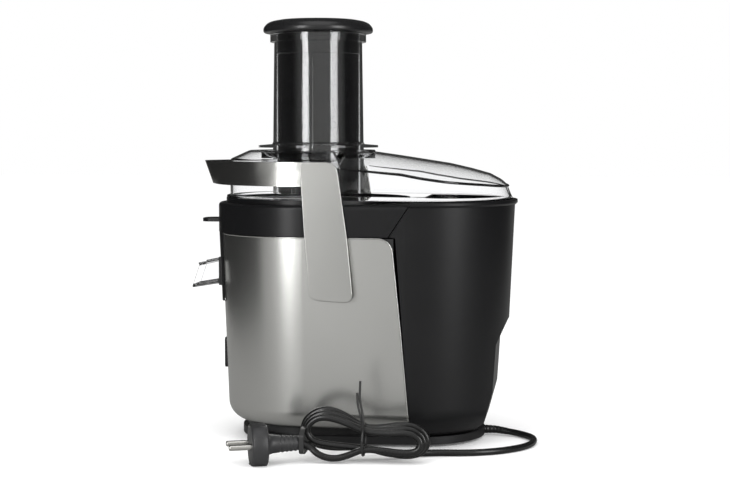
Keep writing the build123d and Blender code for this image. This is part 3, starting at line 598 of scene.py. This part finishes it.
def wrap_edge(name, side):
    """Rolled bead along the wrap's edge, a rod swept along five runs.

    It goes round the top from the front notch, straight back, round the upper rear corner, down the
    slanted edge and in under the foot.
    """
    front = np.radians(np.linspace(159.0, 90.0, 40))
    straight = np.linspace(1, CORNER_X, 30)[1:]
    corner = np.radians(np.linspace(90, CORNER_END, 16)[1:])
    corner_z = CORNER_Z + CORNER_R * np.sin(corner)
    slant_z = np.linspace(173, 30, 50)
    foot = np.radians(np.linspace(0, 62, 12)[1:])
    foot_z = FOOT_Z - FOOT_R * np.sin(foot)
    x = np.concatenate([WRAP_R * np.cos(front), straight, CORNER_X + CORNER_R * np.cos(corner),
                        rear_edge(slant_z), rear_edge(foot_z)])
    y = np.concatenate([WRAP_R * np.sin(front), np.full(len(straight), WRAP_R), body_side(corner_z),
                        body_side(slant_z), body_side(30) - FOOT_R * (1 - np.cos(foot))])
    z = np.concatenate([np.full(len(front) + len(straight), WRAP_TOP_Z), corner_z, slant_z, foot_z])
    piece = swept(name, here(x, side * y, z), 0.0008, 10)
    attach(piece, "base")
    return piece


def wrap_corner(name, side):
    """Thin steel sheet that rounds out the wrap's upper rear corner."""
    corner = np.radians(np.linspace(90, CORNER_END, 14))
    x = np.concatenate([[62.0], CORNER_X + CORNER_R * np.cos(corner), [79.4, 74.0]])
    z = np.concatenate([[187.4], CORNER_Z + CORNER_R * np.sin(corner), [172.0, 172.0]])
    piece = mesh_piece(name, here(x, side * (body_side(z) - 0.02), z), [np.arange(len(x))], smooth=False)
    thicken(piece, 0.0008, 0.0)
    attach(piece, "base")
    return piece


steel_edges = [wrap_edge("wrap_edge_right", -1), wrap_edge("wrap_edge_left", 1),
               wrap_corner("wrap_corner_right", -1), wrap_corner("wrap_corner_left", 1)]

# ---------------------------------------------------------------- shared shader effects
FLOAT = "NodeSocketFloat"
COLOUR = "NodeSocketColor"


def effect(name, inputs, outputs):
    """Empty shader group with float or colour sockets, with its input and output nodes."""
    group = bpy.data.node_groups.new(name, "ShaderNodeTree")
    for label, kind, value in inputs:
        socket = group.interface.new_socket(label, in_out="INPUT", socket_type=kind)
        socket.default_value = value
    for label, kind in outputs:
        group.interface.new_socket(label, in_out="OUTPUT", socket_type=kind)
    start = group.nodes.new("NodeGroupInput")
    end = group.nodes.new("NodeGroupOutput")
    return group, start, end


def feed(tree, socket, value):
    """Sets a socket to a number, or links it to another node's output."""
    if isinstance(value, (int, float)):
        socket.default_value = value
    else:
        tree.links.new(value, socket)


def maths(tree, operation, a, b):
    """Result of a sum on two numbers or sockets."""
    node = tree.nodes.new("ShaderNodeMath")
    node.operation = operation
    feed(tree, node.inputs[0], a)
    feed(tree, node.inputs[1], b)
    return node.outputs["Value"]


def noise_in(group, scale, detail, stretch=(1, 1, 1)):
    """Noise on object coordinates stretched by the given factors."""
    where = group.nodes.new("ShaderNodeTexCoord")
    mapping = group.nodes.new("ShaderNodeMapping")
    mapping.inputs["Scale"].default_value = stretch
    noise = group.nodes.new("ShaderNodeTexNoise")
    noise.inputs["Scale"].default_value = scale
    noise.inputs["Detail"].default_value = detail
    group.links.new(where.outputs["Object"], mapping.inputs["Vector"])
    group.links.new(mapping.outputs["Vector"], noise.inputs["Vector"])
    return noise.outputs["Fac"]


def spread(group, value, low, high):
    """The usual range of a noise value, 0.3 to 0.7, laid onto low to high."""
    node = group.nodes.new("ShaderNodeMapRange")
    node.inputs["From Min"].default_value = 0.3
    node.inputs["From Max"].default_value = 0.7
    feed(group, node.inputs["To Min"], low)
    feed(group, node.inputs["To Max"], high)
    feed(group, node.inputs["Value"], value)
    return node.outputs["Result"]


def tinted(group, colour, factor):
    """Colour multiplied by a grey factor."""
    scaled = group.nodes.new("ShaderNodeVectorMath")
    scaled.operation = "SCALE"
    group.links.new(colour, scaled.inputs[0])
    group.links.new(factor, scaled.inputs["Scale"])
    return scaled.outputs["Vector"]


def surface_effect(name, grain_scale, grain_stretch, cloud_scale, detail=3.0):
    """Group that varies a colour and a roughness slowly over the part and gives a fine height."""
    group, start, end = effect(
        name,
        [("Colour", COLOUR, (0.5, 0.5, 0.5, 1)), ("Roughness", FLOAT, 0.4), ("Variation", FLOAT, 0.04)],
        [("Colour", COLOUR), ("Roughness", FLOAT), ("Height", FLOAT)])
    grain = noise_in(group, grain_scale, detail, grain_stretch)
    cloud = noise_in(group, cloud_scale, 2.0)
    less = maths(group, "SUBTRACT", 1.0, start.outputs["Variation"])
    more = maths(group, "ADD", 1.0, start.outputs["Variation"])
    factor = spread(group, cloud, less, more)
    both = maths(group, "MULTIPLY", factor, spread(group, grain, less, more))
    group.links.new(tinted(group, start.outputs["Colour"], factor), end.inputs["Colour"])
    group.links.new(maths(group, "MULTIPLY", both, start.outputs["Roughness"]), end.inputs["Roughness"])
    group.links.new(grain, end.inputs["Height"])
    return group


def hole_effect():
    """Group whose alpha is open in a round hole at the middle of each cell of an even grid."""
    group, start, end = effect("punched_holes", [("Scale", FLOAT, 620.0), ("Hole Radius", FLOAT, 0.34)],
                               [("Alpha", FLOAT)])
    where = group.nodes.new("ShaderNodeTexCoord")
    cells = group.nodes.new("ShaderNodeTexVoronoi")
    cells.inputs["Randomness"].default_value = 0.0
    group.links.new(where.outputs["Object"], cells.inputs["Vector"])
    group.links.new(start.outputs["Scale"], cells.inputs["Scale"])
    web = maths(group, "GREATER_THAN", cells.outputs["Distance"], start.outputs["Hole Radius"])
    group.links.new(web, end.inputs["Alpha"])
    return group


FINE_GRAIN = surface_effect("fine_grain", 2600.0, (1, 1, 1), 22.0)
GLOSSY_FILM = surface_effect("glossy_film", 160.0, (1, 1, 1), 14.0)
BRUSHED_ROUND = surface_effect("brushed_round", 40.0, (1, 1, 60), 9.0, 4.0)
PUNCHED_HOLES = hole_effect()

# ---------------------------------------------------------------- materials
BUMP_STRENGTH = 0.5


def material(name, colour, roughness, group, height=0.0, variation=0.05, **constants):
    """Principled material whose colour, roughness and bump come through a shared effect."""
    made = bpy.data.materials.new(name)
    made.use_nodes = True
    tree = made.node_tree
    shader = tree.nodes["Principled BSDF"]
    node = tree.nodes.new("ShaderNodeGroup")
    node.node_tree = group
    node.inputs["Colour"].default_value = (*colour, 1)
    node.inputs["Roughness"].default_value = roughness
    node.inputs["Variation"].default_value = variation
    tree.links.new(node.outputs["Colour"], shader.inputs["Base Color"])
    tree.links.new(node.outputs["Roughness"], shader.inputs["Roughness"])
    if height:
        bump = tree.nodes.new("ShaderNodeBump")
        bump.inputs["Distance"].default_value = height
        bump.inputs["Strength"].default_value = BUMP_STRENGTH
        tree.links.new(node.outputs["Height"], bump.inputs["Height"])
        tree.links.new(bump.outputs["Normal"], shader.inputs["Normal"])
    for label, value in constants.items():
        shader.inputs[label.replace("_", " ")].default_value = value
    return made


def perforated(made):
    """The material with small round holes punched through it, by alpha."""
    tree = made.node_tree
    node = tree.nodes.new("ShaderNodeGroup")
    node.node_tree = PUNCHED_HOLES
    tree.links.new(node.outputs["Alpha"], tree.nodes["Principled BSDF"].inputs["Alpha"])
    return made


def clear(name, colour, roughness, variation, ior):
    """Clear plastic of a tint and a refraction."""
    return material(name, colour, roughness, GLOSSY_FILM, 0.0, variation,
                    Transmission_Weight=1.0, IOR=ior, Metallic=0.0)


def metal(name, colour, roughness, group, height=0.0, variation=0.05):
    """Bare metal of a colour and a finish."""
    return material(name, colour, roughness, group, height, variation, Metallic=1.0)


MATERIALS = {
    "black_base": material("base_black", (0.007, 0.007, 0.0075), 0.42, FINE_GRAIN, 0.00004),
    "foot_rubber": material("foot_rubber_black", (0.02, 0.02, 0.02), 0.75, FINE_GRAIN, 0.00004),
    "zinc_steel": metal("zinc_plate", (0.62, 0.63, 0.64), 0.32, GLOSSY_FILM),
    "black_housing": material("housing_black", (0.007, 0.007, 0.0075), 0.4, FINE_GRAIN, 0.00003),
    "brushed_wrap": metal("satin_steel", (0.64, 0.64, 0.62), 0.26, BRUSHED_ROUND, 0.000004, 0.03),
    "seal_rubber": material("seal_black", (0.02, 0.02, 0.02), 0.6, FINE_GRAIN, 0.00003),
    "gloss_black": material("ring_gloss_black", (0.005, 0.005, 0.0055), 0.3, GLOSSY_FILM,
                            Specular_IOR_Level=0.25),
    "switch_plastic": material("switch_black", (0.014, 0.014, 0.015), 0.3, FINE_GRAIN, 0.00002),
    "lamination_steel": metal("lamination", (0.28, 0.28, 0.29), 0.5, BRUSHED_ROUND, 0.00002),
    "copper_wire": metal("enamelled_copper", (0.62, 0.24, 0.10), 0.3, BRUSHED_ROUND, 0.00002),
    "brass_parts": metal("brass", (0.72, 0.52, 0.24), 0.3, GLOSSY_FILM),
    "circuit_board": material("board_green", (0.03, 0.14, 0.06), 0.4, GLOSSY_FILM),
    "cord_rubber": material("lead_black", (0.006, 0.006, 0.006), 0.27, FINE_GRAIN, 0.00002),
    "plug_rubber": material("plug_grey", (0.022, 0.022, 0.023), 0.42, FINE_GRAIN, 0.00003),
    "pin_metal": metal("nickel", (0.70, 0.69, 0.66), 0.2, GLOSSY_FILM),
    "tie_plastic": material("tie_black", (0.015, 0.015, 0.015), 0.38, FINE_GRAIN, 0.00002),
    "ground_shaft": metal("ground_steel", (0.66, 0.66, 0.66), 0.18, BRUSHED_ROUND, 0.000004),
    "fan_plastic": material("fan_grey", (0.25, 0.25, 0.26), 0.5, FINE_GRAIN, 0.00003),
    "clear_plastic": clear("clear_plastic", (0.97, 0.975, 0.98), 0.02, 0.01, 1.42),
    "lid_clear": clear("lid_clear", (0.99, 0.992, 0.995), 0.015, 0.005, 1.1),
    # dark tint: painted shade lines along the clear lid's eaves and the spout's edges, drawn as thin tinted rods
    "lid_edge": clear("lid_edge", (0.10, 0.10, 0.10), 0.05, 0.01, 1.45),
    "sieve_steel": metal("sieve_steel", (0.66, 0.66, 0.65), 0.26, BRUSHED_ROUND, 0.000004),
    "pusher_gloss": material("pusher_black", (0.004, 0.004, 0.0045), 0.06, GLOSSY_FILM, Coat_Weight=0.4),
    "cap_satin": material("cap_satin_black", (0.009, 0.009, 0.0095), 0.27, FINE_GRAIN, 0.00003),
    "brushed_bail": metal("bail_steel", (0.62, 0.62, 0.60), 0.22, BRUSHED_ROUND, 0.000004, 0.03),
    "satin_black": material("bin_satin_black", (0.005, 0.005, 0.0055), 0.36, FINE_GRAIN, 0.00003,
                            Specular_IOR_Level=0.28),
}


def slot_of(part):
    """The record's material slot of a frame part, from the name of its first material."""
    return next(item.name.split(".")[0] for item in part.data.materials if item is not None)


def paint(piece, label):
    """Gives a new piece one of the named materials."""
    piece.data.materials.clear()
    piece.data.materials.append(MATERIALS[label])


for part in NODES.values():
    part_material = MATERIALS[slot_of(part)]
    for index in range(len(part.data.materials)):
        part.data.materials[index] = part_material
NODES["sieve_mesh"].data.materials[0] = perforated(
    metal("sieve_mesh_steel", (0.66, 0.66, 0.65), 0.26, GLOSSY_FILM))
NODES["spout"].data.materials[0] = MATERIALS["lid_clear"]

for label, pieces in (
        ("cord_rubber", (lead, sleeve)),
        ("plug_rubber", (plug,)),
        ("tie_plastic", (neck_strap, waist_wire, *wire_ends)),
        ("lid_clear", lid_pieces[:4]),
        ("lid_edge", (*eaves, *spout_lines)),
        ("brushed_bail", (*arms, band)),
        ("brushed_wrap", steel_edges),
        ("cap_satin", (cap,)),
):
    for piece in pieces:
        paint(piece, label)


# ---------------------------------------------------------------- floor, lights and cards
def bounced(tree, depth):
    """1 where a light path has made at least one bounce of that depth's kind, else 0."""
    path = tree.nodes.new("ShaderNodeLightPath")
    return maths(tree, "GREATER_THAN", path.outputs[depth], 0.5)


def blended(tree, share, first, second):
    """Mix of two shaders, the second by the given share."""
    mix = tree.nodes.new("ShaderNodeMixShader")
    for socket, source in zip(mix.inputs, (share, first, second)):
        tree.links.new(source, socket)
    return mix.outputs["Shader"]


def pale_floor():
    """White table that seems darker in reflections, so the steel and the gloss keep their depth."""
    made = bpy.data.materials.new("floor_white")
    made.use_nodes = True
    tree = made.node_tree
    pale = tree.nodes["Principled BSDF"]
    pale.inputs["Base Color"].default_value = (0.95, 0.95, 0.95, 1)
    pale.inputs["Roughness"].default_value = 0.8
    pale.inputs["Specular IOR Level"].default_value = 0.0
    pale.inputs["Emission Color"].default_value = (1, 1, 1, 1)
    pale.inputs["Emission Strength"].default_value = 0.07
    dim = tree.nodes.new("ShaderNodeBsdfDiffuse")
    dim.inputs["Color"].default_value = (0.30, 0.30, 0.295, 1)
    seen = blended(tree, bounced(tree, "Glossy Depth"), pale.outputs["BSDF"], dim.outputs["BSDF"])
    tree.links.new(seen, tree.nodes["Material Output"].inputs["Surface"])
    return made


def softbox(name, azimuth, distance, height, width, tall, power):
    """Upright rectangular light facing the machine; azimuth is measured like the camera's."""
    data = bpy.data.lights.new(name, "AREA")
    data.shape = "RECTANGLE"
    data.size = width
    data.size_y = tall
    data.energy = power
    light = placed(name, data)
    a = math.radians(azimuth)
    place = Vector((math.sin(a) * distance, -math.cos(a) * distance, height))
    light.location = place
    light.rotation_euler = (Vector((0, 0, 0.2)) - place).to_track_quat("-Z", "Y").to_euler()


def dark_card(name, x, y_from, y_to, height=1.3):
    """Upright dark panel seen only in reflections, which keeps the flanks of round parts deep."""
    corners = [(x, y_from, 0.0), (x, y_to, 0.0), (x, y_to, height), (x, y_from, height)]
    card = mesh_piece(name, corners, [(0, 1, 2, 3)], smooth=False)
    made = bpy.data.materials.new(name + "_paint")
    made.use_nodes = True
    shader = made.node_tree.nodes["Principled BSDF"]
    shader.inputs["Base Color"].default_value = (0.02, 0.02, 0.02, 1)
    shader.inputs["Specular IOR Level"].default_value = 0.0
    card.data.materials.append(made)
    card.visible_camera = False
    card.visible_diffuse = False
    card.visible_transmission = False
    card.visible_shadow = False


floor = mesh_piece("floor", [(-8, -8, 0), (8, -8, 0), (8, 8, 0), (-8, 8, 0)], [(0, 1, 2, 3)], smooth=False)
floor.data.materials.append(pale_floor())
softbox("softbox_left", azimuth=-26, distance=1.6, height=0.5, width=0.42, tall=1.5, power=14)
softbox("softbox_right", azimuth=51, distance=1.7, height=0.5, width=0.60, tall=1.5, power=15)
softbox("softbox_top", azimuth=8, distance=0.6, height=2.2, width=1.6, tall=1.6, power=9)
dark_card("dark_card_left", -0.72, -0.42, 1.0)
dark_card("dark_card_right", 0.85, -0.15, 1.0)


# ---------------------------------------------------------------- room
def background(tree, colour, strength=1.0):
    """Even light from every direction; returns its node."""
    node = tree.nodes.new("ShaderNodeBackground")
    node.inputs["Color"].default_value = (*colour, 1)
    node.inputs["Strength"].default_value = strength
    return node


def studio():
    """World that is plain white to the camera and through clear parts, and a graded room to reflections.

    The room brightens smoothly with how far a direction turns towards the front of the machine.
    """
    world = bpy.data.worlds.new("studio")
    world.use_nodes = True
    sky = world.node_tree
    sky.nodes.clear()
    white = background(sky, (1, 1, 1))
    fill = background(sky, (1, 1, 1))
    room = background(sky, (1.0, 1.0, 0.98))
    way = sky.nodes.new("ShaderNodeTexCoord")
    facing = sky.nodes.new("ShaderNodeVectorMath")
    facing.operation = "DOT_PRODUCT"
    facing.inputs[1].default_value = (0.26, -0.966, 0.0)
    grade = sky.nodes.new("ShaderNodeMapRange")
    grade.interpolation_type = "SMOOTHSTEP"
    for label, value in (("From Min", 0.2), ("From Max", 0.88), ("To Min", 0.05), ("To Max", 0.62)):
        grade.inputs[label].default_value = value
    sky.links.new(way.outputs["Generated"], facing.inputs[0])
    sky.links.new(facing.outputs["Value"], grade.inputs["Value"])
    sky.links.new(grade.outputs["Result"], room.inputs["Strength"])
    mirrored = blended(sky, bounced(sky, "Glossy Depth"), white.outputs["Background"], room.outputs["Background"])
    seen = blended(sky, bounced(sky, "Diffuse Depth"), mirrored, fill.outputs["Background"])
    sky.links.new(seen, sky.nodes.new("ShaderNodeOutputWorld").inputs["Surface"])
    return world


SCENE.world = studio()
SCENE.view_settings.view_transform = "Standard"
SCENE.view_settings.exposure = 0.0
